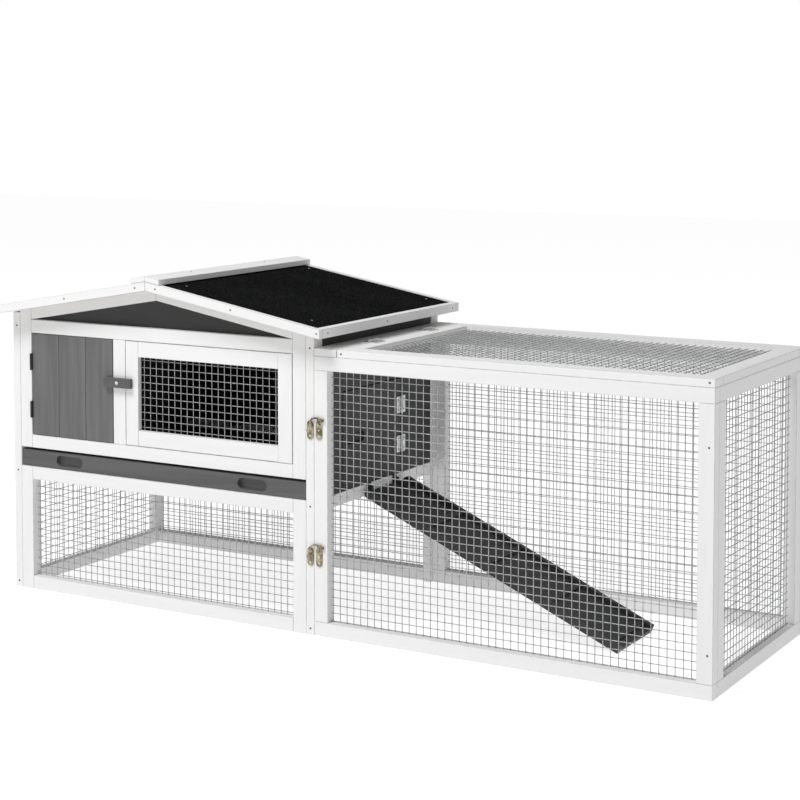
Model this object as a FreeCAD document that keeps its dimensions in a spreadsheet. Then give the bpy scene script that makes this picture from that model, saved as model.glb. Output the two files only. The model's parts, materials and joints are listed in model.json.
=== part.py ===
"""Two-storey rabbit hutch with an attached mesh run, as a parametric assembly in millimetres.

+X runs along the front from the hutch to the run, +Y runs to the back and +Z is up. The origin is on the
floor, under the middle of the whole object. The seam is the plane where the run meets the hutch.
"""
import FreeCAD, Part
import os
import re

# alias, value, what it is
SIZES = [
    ("seam_x", -11, "X of the face where the run meets the hutch"),
    ("front_y", -238, "Y of the front face of the hutch and the run"),
    ("hutch_width", 740, "hutch over its two side walls"),
    ("run_length", 797, "run from the seam to its far end"),
    ("body_depth", 484, "front face to back face"),
    ("post_width", 29.6, "width of stiles and posts"),
    ("frame_thick", 23, "thickness of front, back and end frames"),
    ("side_thick", 18.4, "thickness of the hutch side walls"),
    ("rail_height", 27, "height of the rails"),
    ("board_thick", 10, "thickness of tongued wall boards"),
    ("board_gap", 0.7, "open joint between two boards"),
    ("run_height", 534, "top of the run frames"),
    ("top_thick", 15, "thickness of the run's top timbers"),
    ("top_member", 38, "width of the top panel's timbers"),
    ("strip_width", 49.5, "fixed strip beside the hutch wall"),
    ("lower_top", 256.5, "top of the lower storey"),
    ("tray_top", 296, "top of the tray slot"),
    ("door_low", 323, "bottom of the door openings"),
    ("door_high", 535, "top of the door openings"),
    ("plate_top", 562.5, "top of the front plate under the gable"),
    ("side_height", 576, "height of the side wall stiles"),
    ("nest_width", 213.4, "width of the nest door opening"),
    ("mullion_width", 30.6, "post between the two front doors"),
    ("door_thick", 18, "thickness of the nest door"),
    ("mesh_door_thick", 11, "thickness of the mesh door"),
    ("door_mesh_inset", 9.4, "mesh behind the face of the mesh door"),
    ("door_stile", 31, "width of the mesh door's timbers"),
    ("door_gap", 2.2, "gap round a door"),
    ("batten_width", 34, "cross batten behind the nest door"),
    ("roof_under", 642, "underside of the roof at the ridge"),
    ("roof_fall", 0.1733, "drop of the roof for each millimetre across"),
    ("roof_reach", 405, "ridge to eave, measured level"),
    ("roof_front", 36, "roof overhang at the front"),
    ("roof_back", 28, "roof overhang at the back"),
    ("deck_thick", 12, "roof deck"),
    ("felt_thick", 3, "roofing felt"),
    ("trim_height", 18, "roof edging boards"),
    ("trim_thick", 12, "thickness of the roof edging boards"),
    ("trim_drop", 1, "edging below the deck's underside"),
    ("cap_width", 34, "each board of the ridge cap"),
    ("cap_thick", 11, "thickness of the ridge cap"),
    ("cap_lift", 17.3, "underside of the ridge cap above the deck's underside"),
    ("rafter_height", 23, "gable rafter"),
    ("rest_gap", 0.5, "play between the lifting roof and what it rests on"),
    ("wire", 1.6, "mesh wire"),
    ("pitch", 15, "mesh pitch"),
    ("mesh_inset", 13, "mesh behind the outer face of its frame"),
    ("tray_front_thick", 15, "tray front board"),
    ("tray_front_height", 33.5, "height of the tray front"),
    ("tray_inset", 2, "tray front behind the hutch front"),
    ("tray_play", 1.5, "play at each side of the tray"),
    ("pan_thick", 2, "sheet of the tray pan"),
    ("pan_rim", 20, "rim of the tray pan"),
    ("slot_length", 68, "finger slot in the tray front"),
    ("slot_height", 22, "height of a finger slot"),
    ("slot_depth", 9, "depth of the finger slots in the tray"),
    ("slot_offset", 226, "finger slot from the middle of the tray"),
    ("doorway_front", 104, "front edge of the side doorway, from the front face"),
    ("doorway_back", 330, "back edge of the side doorway, from the front face"),
    ("doorway_top", 452, "top of the side doorway"),
    ("side_door_thick", 12, "thickness of the side door"),
    ("side_slot_length", 68, "finger slot in the side door"),
    ("side_slot_height", 22, "its height"),
    ("side_slot_depth", 7, "its depth"),
    ("side_slot_y", 152, "its middle, from the front face"),
    ("side_slot_z", 355, "its middle above the floor"),
    ("partition_x", 479, "nest room partition, from the hutch's right face"),
    ("partition_thick", 9, "thickness of the partition"),
    ("pass_width", 170, "passage through the partition"),
    ("pass_height", 200, "height of that passage"),
    ("ramp_width", 163, "ramp over its side rails"),
    ("ramp_y", 174, "near side of the ramp, from the front face"),
    ("ramp_length", 596, "length of the ramp along its slope"),
    ("ramp_angle", 23.4, "slope of the ramp in degrees"),
    ("ramp_thick", 9, "ramp board"),
    ("ramp_pivot_x", 4.5, "ramp pivot from the seam"),
    ("ramp_pivot_z", 248, "height of the ramp pivot"),
    ("ramp_start", 4, "head of the ramp from its pivot"),
    ("ramp_drop", 3, "ramp board below the line through its pivot"),
    ("hook_near", 26, "near hook from the ramp's near side"),
    ("hook_far", 127, "far hook from the ramp's near side"),
    ("hook_width", 12, "width of a ramp hook"),
    ("hook_reach", 30, "hook along the ramp"),
    ("bracket_height", 23.8, "plate of a ramp bracket"),
    ("kerb_width", 11, "side rail of the ramp"),
    ("kerb_height", 17, "height of the ramp's side rails"),
    ("cleat_pitch", 142, "distance between cleats"),
    ("cleat_width", 12, "width of a cleat"),
    ("cleat_height", 5, "height of a cleat"),
    ("pin_radius", 1.5, "hinge pin"),
    ("pin_play", 0.06, "radial play of a hinge pin"),
    ("knuckle_radius", 2.6, "outside of a hinge knuckle"),
    ("pin_off", 2.9, "hinge pin from the wood's face"),
    ("hinge_length", 34, "hinge along its pin"),
    ("leaf_width", 17, "hinge leaf"),
    ("leaf_thick", 1.2, "thickness of a surface hinge leaf"),
    ("edge_leaf_thick", 0.8, "thickness of a leaf in a door gap"),
    ("button_height", 19.5, "turn button"),
    ("button_thick", 9, "thickness of the turn button"),
    ("button_z", 448.5, "height of the turn button's screw"),
    ("plate_width", 14, "latch plate"),
    ("plate_length", 36, "length of a latch plate"),
    ("plate_thick", 1.6, "thickness of a latch plate"),
    ("latch_high", 393, "middle of the upper latch"),
    ("latch_low", 151, "middle of the lower latch"),
    ("latch_rise", 11, "latch pivot above the middle of its plate"),
    ("latch_left", 8, "latch's hook plate from the seam"),
    ("latch_spread", 19.5, "distance between a latch's two plates"),
    ("arm_rise", 9, "underside of a latch arm's bar above its pivot"),
    ("arm_reach", 29, "thumb end of a latch arm from its pivot"),
    ("latch_stud", 2.6, "radius of a latch stud"),
    ("arm_thick", 2.6, "thickness of a latch arm"),
    ("arm_width", 5, "width of a latch arm"),
    ("screw_radius", 2.8, "screw head"),
    ("screw_proud", 0.6, "screw head above the wood"),
]

doc = FreeCAD.newDocument("RabbitHutch")
sheet = doc.addObject("Spreadsheet::Sheet", "Sizes")
for row, (alias, value, meaning) in enumerate(SIZES, 1):
    sheet.set(f"A{row}", alias)
    sheet.set(f"B{row}", str(value))
    sheet.set(f"C{row}", meaning)
    sheet.setAlias(f"B{row}", alias)
doc.recompute()

ALIASES = {alias for alias, _, _ in SIZES}
subparts = []

# places used often, as expressions in the sheet's aliases
HUTCH_LEFT = "(seam_x - hutch_width)"
INNER_LEFT = "(seam_x - hutch_width + side_thick)"
INNER_RIGHT = "(seam_x - side_thick)"
INNER_WIDTH = "(hutch_width - 2 * side_thick)"
RIDGE_X = "(seam_x - hutch_width / 2)"
BACK_Y = "(front_y + body_depth)"
BACK_FRAME_Y = "(front_y + body_depth - frame_thick)"
RUN_RIGHT = "(seam_x + run_length)"
NEST_LEFT = "(seam_x - hutch_width + side_thick + post_width)"
MULLION_LEFT = f"({NEST_LEFT} + nest_width)"
MESH_DOOR_LEFT = f"({MULLION_LEFT} + mullion_width)"
MESH_DOOR_RIGHT = "(seam_x - side_thick - post_width)"
ROOF_FRONT_Y = "(front_y - roof_front)"
ROOF_BACK_Y = "(front_y + body_depth + roof_back)"
BETWEEN_POSTS = "(hutch_width - 2 * side_thick - 2 * post_width)"
SIDES = {"left": -1, "right": 1}


def bound(words):
    """An expression with every alias pointed at the sheet."""
    return re.sub(r"[a-z_]+", lambda m: "Sizes." + m[0] if m[0] in ALIASES else m[0], str(words))


def bind(thing, **properties):
    for name, words in properties.items():
        thing.setExpression(name.replace("__", "."), bound(words))


def place(thing, x=0, y=0, z=0):
    bind(thing, Placement__Base__x=x, Placement__Base__y=y, Placement__Base__z=z)


def turn(thing, axis, degrees):
    thing.Placement = FreeCAD.Placement(
        thing.Placement.Base, FreeCAD.Rotation(FreeCAD.Vector(*axis), degrees)
    )


def piece(kind, label):
    thing = doc.addObject(kind, label)
    thing.Label = label
    return thing


def node(thing):
    """Marks a finished sub-part: its label names its file."""
    subparts.append(thing)
    return thing


def group(label, *members):
    """Separate solids that belong together, kept as one sub-part."""
    thing = piece("Part::Compound", label)
    thing.Links = list(members)
    return node(thing)


def block(label, x, y, z, length, width, height):
    thing = piece("Part::Box", label)
    bind(thing, Length=length, Width=width, Height=height)
    place(thing, x, y, z)
    return thing


def rod(label, x, y, z, radius, height, axis=(0, 0, 1)):
    """A cylinder that starts at x, y, z and runs along an axis."""
    thing = piece("Part::Cylinder", label)
    bind(thing, Radius=radius, Height=height)
    turned = FreeCAD.Rotation(FreeCAD.Vector(0, 0, 1), FreeCAD.Vector(*axis))
    thing.Placement = FreeCAD.Placement(FreeCAD.Vector(0, 0, 0), turned)
    place(thing, x, y, z)
    return thing


def cut(label, base, tool):
    thing = piece("Part::Cut", label)
    thing.Base = base
    thing.Tool = tool
    return thing


def fuse(label, *members):
    thing = piece("Part::MultiFuse", label)
    thing.Shapes = list(members)
    return thing


def sloping(label, side, near, far, y_front, depth, bottom_near, bottom_far, top_near, top_far):
    """A timber across the hutch whose bottom and top may slope.

    near and far are level distances from the ridge; the four heights are at those distances.
    """
    thing = piece("Part::Wedge", label)
    bind(thing, Xmin=0, X2min=0, Xmax=depth, X2max=depth, Ymin=near, Ymax=far,
         Zmin=bottom_near, Z2min=bottom_far, Zmax=top_near, Z2max=top_far)
    if SIDES[side] > 0:
        turn(thing, (0, 0, 1), -90)
        place(thing, RIDGE_X, f"{y_front} + {depth}", 0)
    else:
        turn(thing, (0, 0, 1), 90)
        place(thing, RIDGE_X, y_front, 0)
    return thing


def under_roof(distance, above=0):
    """Height of the roof's underside at a level distance from the ridge, or so far above it."""
    return f"(roof_under - roof_fall * ({distance}) + ({above}))"


def roof_layer(label, side, near, far, y_front, depth, bottom, top):
    """A layer that follows the roof slope, from bottom to top above the deck's underside."""
    return sloping(label, side, near, far, y_front, depth,
                   under_roof(near, bottom), under_roof(far, bottom),
                   under_roof(near, top), under_roof(far, top))


def wires(label, along, across, x, y, z, first, span, length):
    """A row of parallel wires: each runs along one axis and the row steps along another."""
    sizes = {"X": "Length", "Y": "Width", "Z": "Height"}
    body = piece("PartDesign::Body", label)
    wire = body.newObject("PartDesign::AdditiveBox", label + "_wire")
    bind(wire, Length="wire", Width="wire", Height="wire")
    bind(wire, **{sizes[along]: length})
    doc.recompute()
    row = body.newObject("PartDesign::LinearPattern", label + "_row")
    row.Originals = [wire]
    axis = next(f for f in body.Origin.OriginFeatures if f.Role == across + "_Axis")
    row.Direction = (axis, [""])
    steps = f"floor(({span} - {first} - wire / 2) / pitch)"
    bind(row, Length=f"pitch * {steps}", Occurrences=f"{steps} + 1")
    body.Tip = row
    start = dict(zip("XYZ", (x, y, z)))
    start[across] = f"{start[across]} + {first} - wire / 2"
    place(body, start["X"], start["Y"], start["Z"])
    return body


def mesh_panel(label, facing, x, y, z, wide, tall, first_across, first_up):
    """Welded mesh in a frame opening: uprights in front of cross wires that touch them.

    facing is the axis that the panel faces, X, Y or Z. x, y, z is the opening's corner in the mesh plane.
    """
    if facing == "Y":
        one = wires(label + "_uprights", "Z", "X", x, y, z, first_across, wide, tall)
        other = wires(label + "_cross", "X", "Z", x, f"{y} + wire", z, first_up, tall, wide)
    elif facing == "X":
        one = wires(label + "_uprights", "Z", "Y", x, y, z, first_across, wide, tall)
        other = wires(label + "_cross", "Y", "Z", f"{x} - wire", y, z, first_up, tall, wide)
    else:
        one = wires(label + "_uprights", "Y", "X", x, y, z, first_across, wide, tall)
        other = wires(label + "_cross", "X", "Y", x, y, f"{z} - wire", first_up, tall, wide)
    return group(label, one, other)


def hinge_part(name, kind, in_gap, width, middle, ends):
    """One half of a butt hinge: its knuckles, with the tabs and the blade of its leaf.

    The pin runs along local Z through the origin. The fixed leaf lies at -X and the moving one at +X, on
    wood whose face is at +Y. In a door's gap both leaves run along +Y instead, one at each side of it.
    """
    side = -1 if kind == "fixed" else 1
    solids = []
    for number, (low, long) in enumerate(ends if kind == "fixed" else middle):
        solids.append(rod(f"{name}_knuckle_{number}", 0, 0, low, "knuckle_radius", long))
        if in_gap:
            flat = f"{side} * (door_gap - edge_leaf_thick) / 2 - edge_leaf_thick / 2"
            solids.append(block(f"{name}_tab_{number}", flat, 0, low, "edge_leaf_thick", "pin_off + 1",
                                long))
        else:
            start = "0" if side > 0 else "-pin_off - 1"
            solids.append(block(f"{name}_tab_{number}", start, "pin_off - leaf_thick", low,
                                "pin_off + 1", "leaf_thick", long))
    if in_gap:
        solids.append(block(name + "_blade", flat, "pin_off", "-hinge_length / 2",
                            "edge_leaf_thick", f"{width} - pin_off", "hinge_length"))
    else:
        start = "pin_off" if side > 0 else f"-{width}"
        solids.append(block(name + "_blade", start, "pin_off - leaf_thick", "-hinge_length / 2",
                            f"{width} - pin_off", "leaf_thick", "hinge_length"))
    return solids


def hinge(name, x, y, z, turned, moving_turned=None, in_gap=False, moving_width="leaf_width"):
    """A butt hinge: a fixed solid with the pin and the end knuckles, and a moving one with the middle."""
    third = "hinge_length / 3"
    ends = (("-hinge_length / 2", third), ("hinge_length / 6", third))
    middle = (("-hinge_length / 6 + pin_play", f"{third} - 2 * pin_play"),)
    pin = rod(name + "_pin", 0, 0, "-hinge_length / 2", "pin_radius", "hinge_length")
    fixed = fuse(name + "_fixed", pin, *hinge_part(name + "_fix", "fixed", in_gap, "leaf_width", middle,
                                                   ends))
    bore = rod(name + "_bore", 0, 0, "-hinge_length / 2", "pin_radius + pin_play", "hinge_length")
    solid = fuse(name + "_moving_solid", *hinge_part(name + "_move", "moving", in_gap, moving_width,
                                                     middle, ends))
    moving = cut(name + "_moving", solid, bore)
    for made, rotation in ((fixed, turned), (moving, moving_turned or turned)):
        made.Placement = FreeCAD.Placement(FreeCAD.Vector(0, 0, 0), rotation)
        place(made, x, y, z)
    return fixed, moving


def hinges(name, spots, *turns, **options):
    """Several hinges alike: their fixed solids and their moving ones."""
    pairs = [hinge(f"{name}_{n}", *spot, *turns, **options) for n, spot in enumerate(spots, 1)]
    return [fixed for fixed, _ in pairs], [moving for _, moving in pairs]


def finger_slot(name, board, x, y, z, long, tall, deep, along="X"):
    """A board with a round-ended pocket in its front face, which is at y (or at x for a slot along Y)."""
    if along == "X":
        middle = block(name + "_middle", f"{x} - {long} / 2 + {tall} / 2", y, f"{z} - {tall} / 2",
                       f"{long} - {tall}", deep, tall)
        ends = [rod(f"{name}_end_{n}", f"{x} {sign} ({long} - {tall}) / 2", y, z, f"{tall} / 2", deep,
                    (0, 1, 0))
                for n, sign in enumerate("-+")]
    else:
        middle = block(name + "_middle", f"{x} - {deep}", f"{y} - {long} / 2 + {tall} / 2",
                       f"{z} - {tall} / 2", deep, f"{long} - {tall}", tall)
        ends = [rod(f"{name}_end_{n}", f"{x} - {deep}", f"{y} {sign} ({long} - {tall}) / 2", z,
                    f"{tall} / 2", deep, (1, 0, 0)) for n, sign in enumerate("-+")]
    return cut(name + "_board", board, fuse(name + "_pocket", middle, *ends))


def pair(label, *placed, **same):
    """Boxes alike in size at several places, as one sub-part."""
    return group(label, *[block(f"{label}_{n}", *spot, *same["size"]) for n, spot in enumerate(placed, 1)])


def make_front():
    posts = [block("mullion", MULLION_LEFT, "front_y", "door_low",
                   "mullion_width", "frame_thick", "door_high - door_low")]
    inner, outer = "(hutch_width / 2 - side_thick - post_width)", "(hutch_width / 2 - side_thick)"
    for side, x in (("left", INNER_LEFT), ("right", MESH_DOOR_RIGHT)):
        posts.append(block(f"lower_{side}_post", x, "front_y", 0, "post_width", "frame_thick", "lower_top"))
        posts.append(sloping(f"upper_{side}_post", side, inner, outer, "front_y", "frame_thick",
                             "tray_top", "tray_top", under_roof(inner, "-rest_gap"),
                             under_roof(outer, "-rest_gap")))
    group("front_posts", *posts)
    levels = (("0", "rail_height"), ("lower_top - rail_height", "lower_top"), ("tray_top", "door_low"),
              ("door_high", "plate_top"))
    group("front_rails", *[block(f"front_rail_{n}", NEST_LEFT, "front_y", low, BETWEEN_POSTS, "frame_thick",
                                 f"{high} - ({low})") for n, (low, high) in enumerate(levels, 1)])


def make_gables():
    inner = "(hutch_width / 2 - side_thick - post_width)"
    rafters, boards = [], []
    for end, y in (("front", "front_y"), ("back", BACK_FRAME_Y)):
        for side in SIDES:
            rafters.append(sloping(f"{end}_{side}_rafter", side, 0, inner, y, "frame_thick",
                                   under_roof(0, "-rafter_height - rest_gap"),
                                   under_roof(inner, "-rafter_height - rest_gap"),
                                   under_roof(0, "-rest_gap"), under_roof(inner, "-rest_gap")))
        tall = under_roof(0, "-rafter_height - rest_gap")
        low = under_roof(inner, "-rafter_height - rest_gap")
        halves = [sloping(f"{end}_{side}_gable_half", side, 0, inner, f"{y} + frame_thick / 2",
                          "board_thick", "plate_top", f"{low} - 0.05", tall, low) for side in SIDES]
        boards.append(fuse(f"{end}_gable_board", *halves))
    group("gable_rafters", *rafters)
    group("gable_boards", *boards)


def make_back():
    inner, outer = "(hutch_width / 2 - side_thick - post_width)", "(hutch_width / 2 - side_thick)"
    group("back_posts", *[sloping(f"back_{side}_post", side, inner, outer, BACK_FRAME_Y, "frame_thick",
                                  "tray_top", "tray_top", under_roof(inner, "-rest_gap"),
                                  under_roof(outer, "-rest_gap")) for side in SIDES])
    levels = ((INNER_LEFT, INNER_WIDTH, "0", "rail_height"),
              (INNER_LEFT, INNER_WIDTH, "lower_top - rail_height", "tray_top"),
              (NEST_LEFT, BETWEEN_POSTS, "door_high", "plate_top"))
    group("back_rails", *[block(f"back_rail_{n}", x, BACK_FRAME_Y, low, wide, "frame_thick",
                                f"{high} - ({low})") for n, (x, wide, low, high) in enumerate(levels, 1)])
    group("back_boards", *[block(f"back_board_{n}", f"{NEST_LEFT} + {n} * {BETWEEN_POSTS} / 7",
                                 f"{BACK_FRAME_Y} + board_thick / 2", "tray_top",
                                 f"{BETWEEN_POSTS} / 7 - board_gap", "board_thick", "door_high - tray_top")
                           for n in range(7)])


def make_side_walls():
    long = "(body_depth - 2 * post_width)"
    for side, x in (("left", HUTCH_LEFT), ("right", "(seam_x - side_thick)")):
        members = [block(f"{side}_wall_stile_{n}", x, y, 0, "side_thick", "post_width", "side_height")
                   for n, y in enumerate(("front_y", f"{BACK_Y} - post_width"), 1)]
        levels = [("sill", "lower_top - rail_height + 3")]
        if side == "left":
            levels.append(("foot", "0"))
        for name, low in levels:
            members.append(block(f"{side}_wall_{name}", x, "front_y + post_width", low,
                                 "side_thick", long, "rail_height - 3" if name == "sill" else "rail_height"))
        group(f"{side}_wall_frame", *members)
    inset = "(side_thick - board_thick) / 2"
    tall = "(side_height - lower_top)"
    boards = [block(f"left_board_{n}", f"{HUTCH_LEFT} + {inset}", f"front_y + post_width + {n} * {long} / 5",
                    "lower_top", "board_thick", f"{long} / 5 - board_gap", tall) for n in range(5)]
    group("left_wall_boards", *boards)
    x, thick = "(seam_x - side_door_thick - 1)", "side_door_thick"
    front, back = "(front_y + doorway_front)", "(front_y + doorway_back)"
    wall = [
        block("wall_before_doorway", x, "front_y + post_width", "lower_top", thick,
              "doorway_front - post_width", tall),
        block("wall_above_doorway", x, front, "doorway_top", thick,
              "doorway_back - doorway_front", "side_height - doorway_top"),
        block("wall_behind_doorway", x, back, "lower_top", thick,
              "body_depth - post_width - doorway_back", tall),
    ]
    group("right_wall_boards", *wall)


def make_inside():
    x = "(seam_x - partition_x)"
    board = block("partition_board", x, "front_y + frame_thick", "tray_top + 2", "partition_thick",
                  "body_depth - 2 * frame_thick", "door_high - tray_top - 4")
    passage = block("passage", f"{x} - 1", "front_y + body_depth - frame_thick - pass_width - 60",
                    "tray_top + 1", "partition_thick + 2", "pass_width", "pass_height")
    partition = cut("nest_partition", board, passage)
    node(partition)
    runner = ("20", "body_depth - 2 * frame_thick", "14")
    pair("tray_runners", (INNER_LEFT, "front_y + frame_thick", "lower_top - 14"),
         (f"{INNER_RIGHT} - 20", "front_y + frame_thick", "lower_top - 14"), size=runner)


def make_lower_mesh():
    tall = "(lower_top - 2 * rail_height)"
    mesh_panel("lower_front_mesh", "Y", NEST_LEFT, "front_y + mesh_inset", "rail_height", BETWEEN_POSTS,
               tall, "7", "5")
    mesh_panel("lower_back_mesh", "Y", INNER_LEFT, f"{BACK_FRAME_Y} + mesh_inset", "rail_height",
               INNER_WIDTH, tall, "7", "5")
    mesh_panel("lower_left_mesh", "X", f"{HUTCH_LEFT} + side_thick / 2", "front_y + post_width",
               "rail_height", "body_depth - 2 * post_width", f"{tall} + 3", "8", "5")


def make_tray():
    wide = f"({INNER_WIDTH} - 2 * tray_play)"
    x = f"({INNER_LEFT} + tray_play)"
    y = "(front_y + tray_inset)"
    board = block("tray_board", x, y, "lower_top + 0.5", wide, "tray_front_thick", "tray_front_height")
    middle, centre = f"({x} + {wide} / 2)", "lower_top + 0.5 + tray_front_height / 2"
    left = finger_slot("left_finger", board, f"{middle} - slot_offset", y, centre,
                       "slot_length", "slot_height", "slot_depth")
    front = finger_slot("right_finger", left, f"{middle} + slot_offset", y, centre,
                        "slot_length", "slot_height", "slot_depth")
    front.Label = "tray_front"
    node(front)
    start = f"({y} + tray_front_thick)"
    deep = f"({BACK_FRAME_Y} - 3 - {start})"
    outer = block("pan_outer", x, start, "lower_top + 0.5", wide, deep, "pan_rim")
    inner = block("pan_inner", f"{x} + pan_thick", f"{start} + pan_thick", "lower_top + 0.5 + pan_thick",
                  f"{wide} - 2 * pan_thick", f"{deep} - 2 * pan_thick", "pan_rim")
    node(cut("tray_pan", outer, inner))


def make_nest_door():
    x, z = f"({NEST_LEFT} + door_gap)", "(door_low + door_gap / 2)"
    wide, tall = "(nest_width - 1.5 * door_gap)", "(door_high - door_low - door_gap)"
    boards = [block(f"nest_board_{n}", f"{x} + {n} * {wide} / 3", "front_y", z,
                    f"{wide} / 3 - board_gap", "door_thick - 6", tall) for n in range(3)]
    group("nest_door_boards", *boards)
    pair("nest_door_battens",
         (f"{x} + 12", "front_y + door_thick - 6", f"{z} + 22"),
         (f"{x} + 12", "front_y + door_thick - 6", f"{z} + {tall} - 22 - batten_width"),
         size=(f"{wide} - 24", "10", "batten_width"))
    spots = [(f"{NEST_LEFT} + door_gap / 2", "front_y - pin_off", height) for height in (376, 475)]
    fixed, moving = hinges("nest_hinge", spots, FreeCAD.Rotation(), in_gap=True)
    group("nest_hinge_fixed", *fixed)
    group("nest_hinge_moving", *moving)


def make_mesh_door():
    x, z = f"({MESH_DOOR_LEFT} + door_gap / 2)", "(door_low + door_gap / 2)"
    wide = f"({MESH_DOOR_RIGHT} - {MESH_DOOR_LEFT} - 1.5 * door_gap)"
    tall = "(door_high - door_low - door_gap)"
    pin_x, pin_y = f"({x} + {wide} - 4.5)", "(front_y + 4.5)"
    left = block("mesh_door_left_stile", x, "front_y", z, "door_stile", "mesh_door_thick", tall)
    stile = block("mesh_door_pivot_stile", f"{x} + {wide} - door_stile", "front_y", z,
                  "door_stile", "mesh_door_thick", tall)
    bores = fuse("mesh_door_bores",
                 rod("mesh_door_bore_1", pin_x, pin_y, z, "pin_radius + pin_play", "14.5"),
                 rod("mesh_door_bore_2", pin_x, pin_y, f"{z} + {tall} - 14.5", "pin_radius + pin_play",
                     "14.5"))
    right = cut("mesh_door_right_stile", stile, bores)
    rails = [block(f"mesh_door_rail_{n}", f"{x} + door_stile", "front_y", low,
                   f"{wide} - 2 * door_stile", "mesh_door_thick", "door_stile")
             for n, low in enumerate((z, f"{z} + {tall} - door_stile"), 1)]
    group("mesh_door_frame", left, right, *rails)
    mesh_panel("mesh_door_mesh", "Y", f"{x} + door_stile", "front_y + door_mesh_inset", f"{z} + door_stile",
               f"{wide} - 2 * door_stile", f"{tall} - 2 * door_stile", "8", "6")
    group("mesh_door_pins",
          rod("mesh_door_pin_1", pin_x, pin_y, "door_low", "pin_radius", "14"),
          rod("mesh_door_pin_2", pin_x, pin_y, "door_high - 14", "pin_radius", "14"))


def make_turn_button():
    node(block("turn_button", MULLION_LEFT, "front_y - button_thick - 0.5", "button_z - button_height / 2",
               "mullion_width", "button_thick", "button_height"))


def make_side_door():
    x = "(seam_x - side_door_thick - 1)"
    y, z = "(front_y + doorway_front + door_gap)", "(lower_top + door_gap)"
    wide, tall = "(doorway_back - doorway_front - 2 * door_gap)", "(doorway_top - lower_top - 2 * door_gap)"
    board = block("side_door_slab", x, y, z, "side_door_thick", wide, tall)
    door = finger_slot("side_finger", board, f"{x} + side_door_thick", "front_y + side_slot_y",
                       "side_slot_z", "side_slot_length", "side_slot_height", "side_slot_depth", along="Y")
    door.Label = "side_door"
    node(door)
    spots = [(f"{x} + side_door_thick + pin_off", "front_y + doorway_back - door_gap / 2", height)
             for height in (316, 396)]
    return hinges("side_hinge", spots, FreeCAD.Rotation(FreeCAD.Vector(0, 0, 1), -90).multiply(
        FreeCAD.Rotation(FreeCAD.Vector(1, 0, 0), 180)))


def make_ramp():
    """The ramp is laid out level, with its pivot at the origin and its foot at +X, and then tilted."""
    slope = FreeCAD.Rotation(FreeCAD.Vector(0, 1, 0), 1)

    def tilted(label, *members):
        thing = group(label, *members)
        thing.Placement = FreeCAD.Placement(FreeCAD.Vector(0, 0, 0), slope)
        bind(thing, Placement__Rotation__Angle="ramp_angle")
        place(thing, "seam_x + ramp_pivot_x", "front_y + ramp_y", "ramp_pivot_z")

    inside = "(ramp_width - 2 * kerb_width)"
    tilted("ramp_deck", block("ramp_slab", "ramp_start", "kerb_width", "-ramp_thick - ramp_drop",
                              "ramp_length - ramp_start", inside, "ramp_thick"))
    kerbs, start = [], "ramp_start + kerb_height / 2"
    for n, y in enumerate((0, "ramp_width - kerb_width"), 1):
        rail = block(f"kerb_rail_{n}", start, y, "-ramp_thick - ramp_drop", f"ramp_length - ({start})",
                     "kerb_width", "kerb_height")
        nose = rod(f"kerb_nose_{n}", start, y, "kerb_height / 2 - ramp_thick - ramp_drop", "kerb_height / 2",
                   "kerb_width", (0, 1, 0))
        kerbs.append(fuse(f"kerb_{n}", rail, nose))
    tilted("ramp_side_rails", *kerbs)
    tilted("ramp_cleats", *[block(f"cleat_{n}", f"cleat_pitch * {n}", "kerb_width", "-ramp_drop",
                                  "cleat_width", inside, "cleat_height") for n in range(1, 5)])
    straps, brackets = [], []
    for n, y in enumerate(("hook_near", "hook_far"), 1):
        eye = rod(f"hook_eye_{n}", 0, f"{y} - hook_width / 2", 0, "knuckle_radius", "hook_width", (0, 1, 0))
        strap = block(f"hook_strap_{n}", 0, f"{y} - hook_width / 2", "-ramp_drop", "hook_reach",
                      "hook_width", "ramp_drop - 0.4")
        bore = rod(f"hook_bore_{n}", 0, f"{y} - hook_width", 0, "pin_radius + pin_play", "2 * hook_width",
                   (0, 1, 0))
        straps.append(cut(f"hook_{n}", fuse(f"hook_solid_{n}", eye, strap), bore))
        at = f"(front_y + ramp_y + {y})"
        ears = [block(f"ear_{n}_{side}", "seam_x", f"{at} {side} (hook_width / 2 + 1) - 0.75",
                      "ramp_pivot_z - 3", "ramp_pivot_x + 2.4", "1.5", "6") for side in "-+"]
        pin = rod(f"ramp_pin_{n}", "seam_x + ramp_pivot_x", f"{at} - hook_width / 2 - 1.75", "ramp_pivot_z",
                  "pin_radius", "hook_width + 3.5", (0, 1, 0))
        plate = block(f"bracket_plate_{n}", "seam_x", f"{at} - hook_width / 2 - 1.75", "ramp_pivot_z - 14",
                      "1.2", "hook_width + 3.5", "bracket_height")
        brackets.append(fuse(f"bracket_{n}", plate, pin, *ears))
    tilted("ramp_hooks", *straps)
    group("ramp_brackets", *brackets)


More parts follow.
